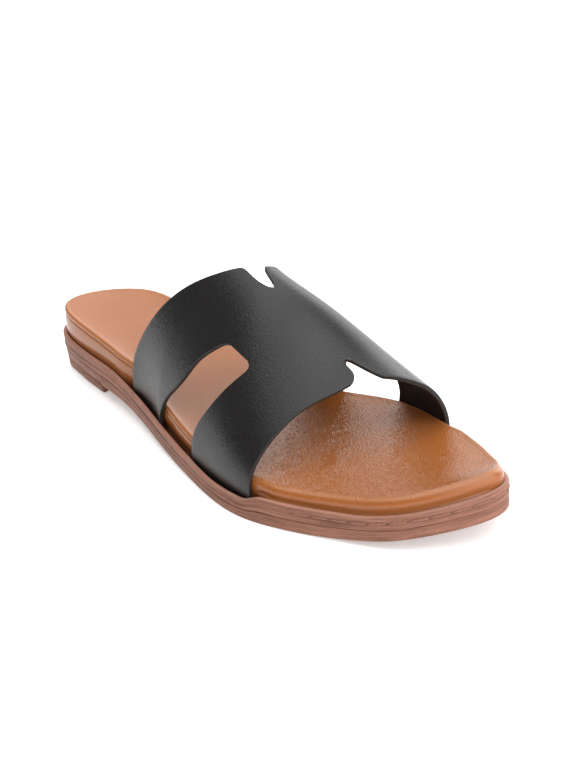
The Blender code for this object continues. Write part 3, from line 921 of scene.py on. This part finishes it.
def footbed_finish():
    """Tan leatherette: a rippled, semi-gloss grain before the band, finer at the heel, and a smooth wall,
    with a painted highlight along the top edge's crest, painted shade in the groove and painted shade down
    the wall's foot.
    """
    made, tree, shader = new_finish("insole_leatherette", {"Roughness": 0.30, "Specular IOR Level": 0.45})
    where = object_space(tree)
    moved = warped(tree, where)
    ripples = noise(tree, stretched(tree, moved, (1.0, 0.25, 1.0), -14.0), FOOTBED_RIPPLES, 1.0, 0.4)
    ripples = maths(tree, "ABSOLUTE", maths(tree, "SUBTRACT", ripples, 0.5))
    pores = cells(tree, stretched(tree, moved, (1.0, 0.8, 1.0)), FOOTBED_PORES)
    along = part_of(tree, where, "Y")
    before_band = spread(tree, along, *RIPPLES_RISE)
    ripples = maths(tree, "MULTIPLY", ripples, spread(tree, before_band, 0.0, 1.0, *RIPPLE_STRENGTHS))
    height = maths(tree, "ADD", ripples, maths(tree, "MULTIPLY", pores, 0.25))
    normal = add_node(tree, "ShaderNodeNewGeometry").outputs["Normal"]
    on_top = spread(tree, part_of(tree, normal, "Z"), *TOP_FACING)
    height = maths(tree, "MULTIPLY", height, spread(tree, on_top, 0.0, 1.0, WALL_RELIEF, 1.0))
    use_bump(tree, shader, height, FOOTBED_RELIEF, 0.9)
    depth = run_and_level(tree)[1]
    # Painted shade down the wall's foot by the rim, stronger towards the heel
    foot_painted_shade_strength = spread(tree, along, *PAINTED_SHADE_STRETCH, *FOOT_PAINTED_SHADE_STRENGTHS)
    foot_painted_shade = maths(tree, "MULTIPLY", spread(tree, depth, *FOOT_PAINTED_SHADE_DEPTHS), foot_painted_shade_strength)
    patches = noise(tree, where, FOOTBED_PATCHES, 3.0, 0.55)
    tone = weighted(tree, patches, 0.7, pores, 0.4)
    colour = blend_colours(tree, spread(tree, tone, *TAN_SPAN), TAN_DARK, TAN_PALE)
    # Painted highlight along the crest of the top edge and painted shade in the groove under it
    painted_light_stripes = ((PAINTED_HIGHLIGHT_DEPTHS, PAINTED_HIGHLIGHT_STRENGTH, TAN_PAINTED_HIGHLIGHT), (GROOVE_PAINTED_SHADE_LIMITS, GROOVE_PAINTED_SHADE_STRENGTH, TAN_PAINTED_GROOVE_SHADE))
    for limits, shade, tint in painted_light_stripes:
        painted_light_mask = maths(tree, "MULTIPLY", stripe(tree, depth, limits), shade)
        colour = blend_colours(tree, painted_light_mask, colour, tint)
    colour = blend_colours(tree, foot_painted_shade, colour, TAN_PAINTED_FOOT_SHADE)
    tree.links.new(colour, shader.inputs["Base Color"])
    rough = spread(tree, patches, *NOISE_SPAN, *FOOTBED_ROUGHNESS)
    tree.links.new(rough, shader.inputs["Roughness"])
    return made


def drawn_along(tree, run, level, scales, detail, roughness):
    """Noise drawn out along the sole's side."""
    inputs = {"X": maths(tree, "MULTIPLY", run, scales[0]), "Y": maths(tree, "MULTIPLY", level, scales[1])}
    where = add_node(tree, "ShaderNodeCombineXYZ", inputs).outputs[0]
    return noise(tree, where, 1.0, detail, roughness)


def rubber_finish():
    """Moulded rubber like stacked layers: wavy lines along the side, a painted highlight on the rim line,
    painted shade in the recess and in the stitch channel towards the toe.
    """
    made, tree, shader = new_finish("sole_rubber", {"Roughness": 0.55, "Specular IOR Level": 0.3})
    run, level = run_and_level(tree)
    where = object_space(tree)
    waves = maths(tree, "MULTIPLY", noise(tree, where, RUBBER_WAVES, 2.0), RUBBER_WAVE_HEIGHT)
    wavy_level = maths(tree, "ADD", level, waves)
    lines = drawn_along(tree, run, wavy_level, RUBBER_LINES, 3.0, 0.66)
    layers = drawn_along(tree, run, wavy_level, RUBBER_LAYERS, 1.0, 0.5)
    grit = noise(tree, where, RUBBER_GRIT, 3.0, 0.6)
    use_bump(tree, shader, weighted(tree, lines, 1.3, grit, 0.4), RUBBER_RELIEF, 0.9)
    tone = weighted(tree, lines, 0.6, layers, 0.4)
    colour = blend_colours(tree, spread(tree, tone, *RUBBER_SPAN), RUBBER_DARK, RUBBER_PALE)
    # Painted highlight along the rim line's top edge
    pale = maths(tree, "MULTIPLY", stripe(tree, level, RIM_PAINTED_HIGHLIGHT_LEVELS), RIM_PAINTED_HIGHLIGHT_STRENGTH)
    colour = blend_colours(tree, pale, colour, RUBBER_PAINTED_HIGHLIGHT)
    along = part_of(tree, where, "Y")
    # Painted shade in the recess between rim and footbed, stronger towards the heel
    recess_painted_shade_strength = spread(tree, along, *PAINTED_SHADE_STRETCH, *RECESS_PAINTED_SHADE_STRENGTHS)
    recess = maths(tree, "MULTIPLY", spread(tree, level, *RECESS_PAINTED_SHADE_LEVELS), recess_painted_shade_strength)
    colour = blend_colours(tree, recess, colour, RUBBER_PAINTED_SHADE)
    # Painted shade in the stitch channel, rising towards the toe
    channel_painted_shade_strength = spread(tree, along, *CHANNEL_PAINTED_SHADE_RISES, *CHANNEL_PAINTED_SHADE_STRENGTHS)
    channel = maths(tree, "MULTIPLY", stripe(tree, level, CHANNEL_PAINTED_SHADE_LEVELS), channel_painted_shade_strength)
    colour = blend_colours(tree, channel, colour, RUBBER_PAINTED_CHANNEL_SHADE)
    tree.links.new(colour, shader.inputs["Base Color"])
    return made


def side_flare(turn):
    """How fully the sole's side flares out towards the ground: beside the forefoot and at the toe."""
    share = plan_share(turn)
    forefoot = ease((share - FLARE_FROM) / FLARE_EASE) * ease((FLARE_TO - share) / FLARE_TOE_EASE)
    return np.maximum(forefoot, 1.0 - ease(np.abs(turn - TOE_FLARE_AT) / TOE_FLARE_REACH))


def leg_room(turn):
    """How fully the footbed's wall stands in to make room for the legs and the slot between them."""
    side = np.where(turn < np.pi, 1.0, -1.0)
    return beside_spans(SIDE_REACH, side, plan_share(turn), LEG_ROOM_EASE)


def inner_rise(turn):
    """How fully the footbed's inner edge stands higher than its outer edge."""
    share = plan_share(turn)
    rising = ease((share - INNER_RISE_FROM) / INNER_RISE_EASE)
    falling = ease((INNER_RISE_TO - share) / INNER_RISE_TOE_EASE)
    return np.where(turn > np.pi, rising * falling, 0.0)


def make_outsole(finish):
    """Side, rim, recess floor and underside of the sole."""
    skin = Skin()
    at_heel = 1.0 - ease((SHARES - BREAST_AT) * SOLE_LENGTH / HEEL_FADE)
    rings = []
    profile = softened(SOLE_SKIN, SKIN_ROUND)
    tread = tread_height(SHARES)
    lowered = (rim_height(SHARES) - tread) / SOLE_BAND
    for height, inset in profile:
        slope = HEEL_SLOPE * max(0.5 * SOLE_BAND - height, 0.0) * ease(SHARES / HEEL_TAPER_TO)
        flare = SIDE_FLARE * side_flare(TURNS) * (1.0 - height / SOLE_BAND)
        ring = plan_ring(inset + slope * at_heel - flare, tread + height * lowered)
        rings.append(skin.add_points(ring))
    levels = np.append(0.0, np.cumsum(np.linalg.norm(np.diff(profile, axis=0), axis=1)))
    rim_index = int(np.argmax(profile[:, 0]))
    levels = levels - levels[rim_index] + SOLE_BAND
    for low, high, low_v, high_v in zip(rings, rings[1:], levels, levels[1:]):
        skin.add_wall(low, high, RUN, low_v, high_v)
    skin.add_ladder(rings[0], UNDERSIDE_STEPS, level_rows, upwards=False)
    skin.add_ladder(rings[-1], HIDDEN_STEPS, level_rows)
    piece = skin.make("outsole_skin", [finish])
    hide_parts("outsole")


def make_stitches(finish):
    """Row of moulded stitches in the channel round the toe, each a short twisted strand."""
    skin = Skin()
    turn_of = np.append(TURNS, 2.0 * np.pi)
    first, last = (np.interp(turn, turn_of, RUN) for turn in (STITCH_FROM, 2.0 * np.pi - STITCH_FROM))
    count = int((last - first) / STITCH_PITCH)
    ways = np.linspace(-1.0, 1.0, STITCH_STEPS + 1)[1:-1]
    around = np.linspace(0.0, 2.0 * np.pi, STITCH_SIDES + 1)[:-1]
    for k in range(count):
        middle = first + (k + 0.5) * STITCH_PITCH
        runs = middle + 0.5 * STITCH_LENGTH * ways
        full = (1.0 - ways**STITCH_BLUNTNESS) ** 0.5
        twist = 1.0 + STITCH_TWIST * np.cos(2.0 * around - 2.0 * np.pi * runs[:, None] / STITCH_STRAND)
        radius = STITCH_RADIUS * full[:, None] * twist
        turns = np.interp(runs, RUN, turn_of)[:, None] + 0.0 * radius
        shares = plan_share(turns)
        tread = tread_height(shares)
        lowered = (rim_height(shares) - tread) / SOLE_BAND
        flat = plan_point(turns, STITCH_INSET - radius * np.cos(around))
        z = tread + lowered * STITCH_LEVEL + radius * np.sin(around)
        rings = [skin.add_points(ring) for ring in np.dstack([flat, z])]
        for low, high in zip(rings, rings[1:]):
            skin.add_wall(low, high, np.zeros(STITCH_SIDES + 1), STITCH_TONE_LEVEL, STITCH_TONE_LEVEL)
        skin.add_face(tuple(rings[0][::-1]))
        skin.add_face(tuple(rings[-1]))
    piece = skin.make("toe_stitches", [finish])


def make_heel(finish):
    """Low heel block under the sole, with a bowed breast."""
    skin = Skin()
    breast_turn = math.acos(1.0 - 2.0 * BREAST_AT)
    turns = np.linspace(-breast_turn, breast_turn, 2 * HEEL_SIDE_STEPS + 1)
    taper = ease(plan_share(turns) / HEEL_TAPER_TO)
    ways = np.linspace(0.0, 1.0, BREAST_STEPS + 1)[1:-1]
    rows = softened(HEEL_SKIN, HEEL_ROUND)
    rings = []
    for z, inset in rows:
        side = plan_point(turns, inset + HEEL_SLOPE * (0.5 * SOLE_BAND + HEEL_LIFT - z) * taper)
        breast = side[-1] + (side[0] - side[-1]) * ways[:, None]
        breast[:, 1] -= BREAST_BOW * 4.0 * ways * (1.0 - ways)
        flat = np.vstack([side, breast])
        in_front = flat[:, 1] - flat[:, 1].min() > HEEL_BACK
        flat[:, 1] -= BREAST_FOOT_SLOPE * max(BREAST_FOOT - z, 0.0) * in_front
        rings.append(skin.add_points(np.column_stack([flat, np.full(len(flat), z)])))
    edge = np.array(skin.points)[rings[0]]
    steps = np.diff(np.vstack([edge, edge[:1]]), axis=0)
    run = np.append(0.0, np.cumsum(np.linalg.norm(steps, axis=1)))
    for low, high, low_z, high_z in zip(rings, rings[1:], rows[:, 0], rows[1:, 0]):
        skin.add_wall(low, high, run, low_z - HEEL_LIFT, high_z - HEEL_LIFT)
    skin.add_face(tuple(rings[0][::-1]))
    skin.add_face(tuple(rings[-1]))
    piece = skin.make("heel_block", [finish])


def make_footbed(finish):
    """Wrapped footbed in one skin: dished top, rolled edge, groove and bulging wall."""
    skin = Skin()
    toe = ease((SHARES - GROOVE_FADE_FROM) / (GROOVE_FADE_TO - GROOVE_FADE_FROM))
    inner_roll = ease((SHARES - INNER_ROLL_FROM) / (INNER_ROLL_TO - INNER_ROLL_FROM))
    toe = toe * np.where(TURNS > np.pi, inner_roll, 1.0)
    top = footbed_height(SHARES) + INNER_RISE * inner_rise(TURNS)
    bottom = rim_height(SHARES) - RIM_DEPTH + SEAT_GAP
    rim = rim_height(SHARES) - WALL_SUNK
    last = FOOTBED_EDGE[-1]
    wall_top = top - last.depth
    room = leg_room(TURNS)
    out = FOOTBED_INSET - HEEL_OVERHANG * (1.0 - ease(SHARES / HEEL_OVERHANG_TO)) + LEG_ROOM * room
    out = out - CORNER_OVERHANG * (1.0 - ease(np.abs(TURNS - CORNER_AT) / CORNER_REACH))
    foot = WALL_FOOT_INSET + (out - WALL_FOOT_INSET) * room * LEG_ROOM_FOOT
    rings = []
    depths = []
    for way in np.linspace(1.0, 0.0, WALL_SEAT_STEPS + 1)[:-1]:
        rings.append(plan_ring(foot, rim + (bottom - rim) * way))
        depths.append(RIM_LEVEL + (SEAT_LEVEL - RIM_LEVEL) * way)
    for way in np.linspace(1.0, 0.0, WALL_UPPER_STEPS + 1)[:-1]:
        tucked = (foot - out) * ease((way - WALL_FOOT_FROM) / (1.0 - WALL_FOOT_FROM))
        swell = (WALL_BULGE - (WALL_BULGE + WALL_HOLLOW) * toe) * math.sin(math.pi * way)
        rings.append(plan_ring(out + tucked - swell, wall_top - (wall_top - rim) * way))
        depths.append(last.depth + (RIM_LEVEL - last.depth) * way)
    for row in FOOTBED_EDGE[::-1]:
        rings.append(plan_ring(out + row.inset + (row.toe_inset - row.inset) * toe, top - row.depth))
        depths.append(row.depth)
    numbers = [skin.add_points(beside_legs(ring)) for ring in rings]
    for low, high, low_v, high_v in zip(numbers, numbers[1:], depths, depths[1:]):
        skin.add_wall(low, high, RUN, low_v, high_v)

    def dished(share, ways, points):
        """The footbed is lowest along its middle, deepest in the heel."""
        depth = INSOLE_DISH_HEEL + (INSOLE_DISH_BALL - INSOLE_DISH_HEEL) * ease(share / FOOTBED_LEVEL_AT)
        at_end = ease(4.0 * share) * ease(4.0 * (1.0 - share))
        points[:, 2] -= depth * at_end * (1.0 - (2.0 * ways - 1.0) ** DISH_FLATNESS)
        return points

    skin.add_ladder(numbers[-1], ACROSS_STEPS, dished)
    skin.add_ladder(numbers[0], HIDDEN_STEPS, level_rows, upwards=False)
    piece = skin.make("footbed_wrap", [finish])
    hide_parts("midsole", "insole")


def band_arcs():
    """Places of the band's columns: even ones, close ones in the notches, and the slots' corners."""
    arcs = list(np.linspace(0.0, 1.0, round(1.0 / ARC_STEP) + 1))
    first = FRONT_NOTCH.wall - FRONT_NOTCH.lip / ARC_LENGTH
    last = REAR_NOTCH.end
    arcs = [arc for arc in arcs if not first < arc < last]
    arcs += list(np.linspace(first, last, round((last - first) / NOTCH_STEP) + 1))
    reach = SLOT_CORNER / ARC_LENGTH
    for end, inward in ((OUTER_SLOT_END, -1.0), (INNER_SLOT_END, 1.0)):
        kept_to, kept_from = CORNER_FROM * reach, CORNER_PAST * reach
        arcs = [arc for arc in arcs if not kept_to < (arc - end) * inward < kept_from]
        quarter = [math.cos(0.5 * math.pi * k / CORNER_STEPS) for k in range(CORNER_STEPS + 1)]
        arcs += [end + inward * reach * across for across in quarter]
    return sorted(arcs)


def band_sheet():
    """Grid of the band's outer face: its arcs, shares, tucks and faces, with the slots left open."""
    columns = [(0.0, 1.0 - k / TUCK_ROWS) for k in range(TUCK_ROWS)]
    columns += [(arc, 0.0) for arc in band_arcs()]
    columns += [(1.0, (k + 1) / TUCK_ROWS) for k in range(TUCK_ROWS)]
    counts = (LEG_ROWS, BRIDGE_ROWS, LEG_ROWS)
    places = []
    for arc, tuck in columns:
        lines = band_lines(arc)
        shares = [lines[0]]
        for start, end, count in zip(lines, lines[1:], counts):
            shares += [start + (end - start) * (k + 1) / count for k in range(count)]
        places += [(arc, share, tuck) for share in shares]
    height = sum(counts) + 1
    faces = []
    for k in range(len(columns) - 1):
        middle_arc = 0.5 * (columns[k][0] + columns[k + 1][0])
        open_here = not OUTER_SLOT_END < middle_arc < INNER_SLOT_END
        for row in range(sum(counts)):
            if open_here and LEG_ROWS <= row < LEG_ROWS + BRIDGE_ROWS:
                continue
            near, far = k * height + row, (k + 1) * height + row
            faces.append((near, near + 1, far + 1, far))
    used = sorted({corner_number for face in faces for corner_number in face})
    number = {old: new for new, old in enumerate(used)}
    return np.array([places[old] for old in used]), [tuple(number[old] for old in face) for face in faces]


def rim_loops(faces):
    """Next and previous point along the sheet's open edges."""
    edges = set()
    for face in faces:
        edges.update(zip(face, face[1:] + face[:1]))
    ahead = {a: b for a, b in edges if (b, a) not in edges}
    back = {b: a for a, b in ahead.items()}
    return ahead, back


def make_band(finishes):
    """The leather band: outer face, cut edge in two layers, and lining."""
    places, faces = band_sheet()
    arc, share, tuck = places.T
    outer = band_point(arc, share)
    outer[:, 2] -= tuck * (base_height(share) - rim_height(share) + TUCK_DEPTH)
    normal = band_normal(arc, share)
    ahead, back = rim_loops(faces)
    rim = sorted(ahead)
    inward = np.zeros_like(outer)
    for point in rim:
        tangent = outer[ahead[point]] - outer[back[point]]
        inward[point] = np.cross(normal[point], tangent / np.linalg.norm(tangent))
    skin = Skin()
    first, last = CUT_EDGE[0], CUT_EDGE[-1]
    face_points = skin.add_points(outer + inward * first.inset)
    previous = {point: face_points[point] for point in rim}
    for face in faces:
        skin.add_face(face)
    for row in CUT_EDGE[1:-1]:
        moved = outer[rim] + inward[rim] * row.inset - normal[rim] * row.depth
        current = dict(zip(rim, skin.add_points(moved)))
        for point in rim:
            after = ahead[point]
            skin.add_face((previous[after], previous[point], current[point], current[after]), 1)
        previous = current
    lining = skin.add_points(outer + inward * last.inset - normal * last.depth)
    for point in rim:
        after = ahead[point]
        skin.add_face((previous[after], previous[point], lining[point], lining[after]), 1)
    for face in faces:
        skin.add_face(tuple(lining[point] for point in face[::-1]), 2)
    piece = skin.make("leather_band", finishes)
    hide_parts("upper")


def make_floor():
    """Plain pale floor."""
    mesh = bpy.data.meshes.new("floor")
    signs = ((-1, -1), (1, -1), (1, 1), (-1, 1))
    corners = [(x * FLOOR_HALF, y * FLOOR_HALF, 0.0) for x, y in signs]
    mesh.from_pydata(corners, [], [(0, 1, 2, 3)])
    sockets = {"Roughness": 0.9, "Specular IOR Level": 0.1, "Emission Strength": FLOOR_GLOW}
    made, tree, shader = new_finish("floor_paper", sockets)
    shader.inputs["Emission Color"].default_value = WHITE
    grain = noise(tree, object_space(tree), FLOOR_GRAIN, 2.0)
    colour = blend_colours(tree, grain, FLOOR_DARK, FLOOR_PALE)
    tree.links.new(colour, shader.inputs["Base Color"])
    mesh.materials.append(made)
    floor = bpy.data.objects.new("floor", mesh)
    bpy.context.scene.collection.objects.link(floor)
    floor.location.z = -FLOOR_SUNK


def make_lamp():
    """Soft lamp over the shoe, facing the origin."""
    data = bpy.data.lights.new("overhead", "AREA")
    data.shape = "RECTANGLE"
    data.size, data.size_y = LAMP_SIDE, LAMP_SIDE
    data.energy = LAMP_POWER
    lamp = bpy.data.objects.new("overhead", data)
    lamp.location = LAMP_AT
    lamp.rotation_mode = "QUATERNION"
    lamp.rotation_quaternion = (-Vector(LAMP_AT)).to_track_quat("-Z", "Y")
    bpy.context.scene.collection.objects.link(lamp)


def make_world():
    """Studio surround: dim, with soft glows overhead, at the inner side and before the toe."""
    world = bpy.data.worlds.new("studio")
    bpy.context.scene.world = world
    world.use_nodes = True
    tree = world.node_tree
    direction = add_node(tree, "ShaderNodeTexCoord").outputs["Generated"]
    tone = SURROUND
    for glow in GLOWS:
        azimuth, elevation = math.radians(glow.azimuth), math.radians(glow.elevation)
        level = math.cos(elevation)
        axis = (level * math.cos(azimuth), level * math.sin(azimuth), math.sin(elevation))
        inputs = {0: direction, 1: axis}
        facing = add_node(tree, "ShaderNodeVectorMath", inputs, operation="DOT_PRODUCT").outputs["Value"]
        inputs = {"Value": facing, "From Min": math.cos(math.radians(glow.outer)), "To Max": glow.strength}
        inputs["From Max"] = math.cos(math.radians(glow.inner))
        lobe = add_node(tree, "ShaderNodeMapRange", inputs, interpolation_type="SMOOTHSTEP")
        tone = maths(tree, "ADD", lobe.outputs["Result"], tone)
    tree.links.new(tone, tree.nodes["Background"].inputs["Strength"])
    tree.nodes["Background"].inputs["Color"].default_value = WHITE


def make_camera():
    """Camera at the photograph's viewing angle."""
    data = bpy.data.cameras.new("camera")
    data.sensor_fit = "VERTICAL"
    data.sensor_height = SENSOR_HEIGHT
    data.lens = CAMERA_LENS
    camera = bpy.data.objects.new("camera", data)
    aimed = Vector(CAMERA_AXIS).to_track_quat("-Z", "Y").to_matrix()
    turned = aimed @ Matrix.Rotation(CAMERA_ROLL, 3, "Z")
    camera.matrix_world = Matrix.Translation(CAMERA_AT) @ turned.to_4x4()
    bpy.context.scene.collection.objects.link(camera)
    bpy.context.scene.camera = camera


bpy.context.scene.view_settings.view_transform = "Standard"
rubber = rubber_finish()
make_outsole(rubber)
make_heel(rubber)
make_stitches(rubber)
make_footbed(footbed_finish())
make_band([leather_finish(), cut_finish(), lining_finish()])
make_floor()
make_world()
make_lamp()
make_camera()
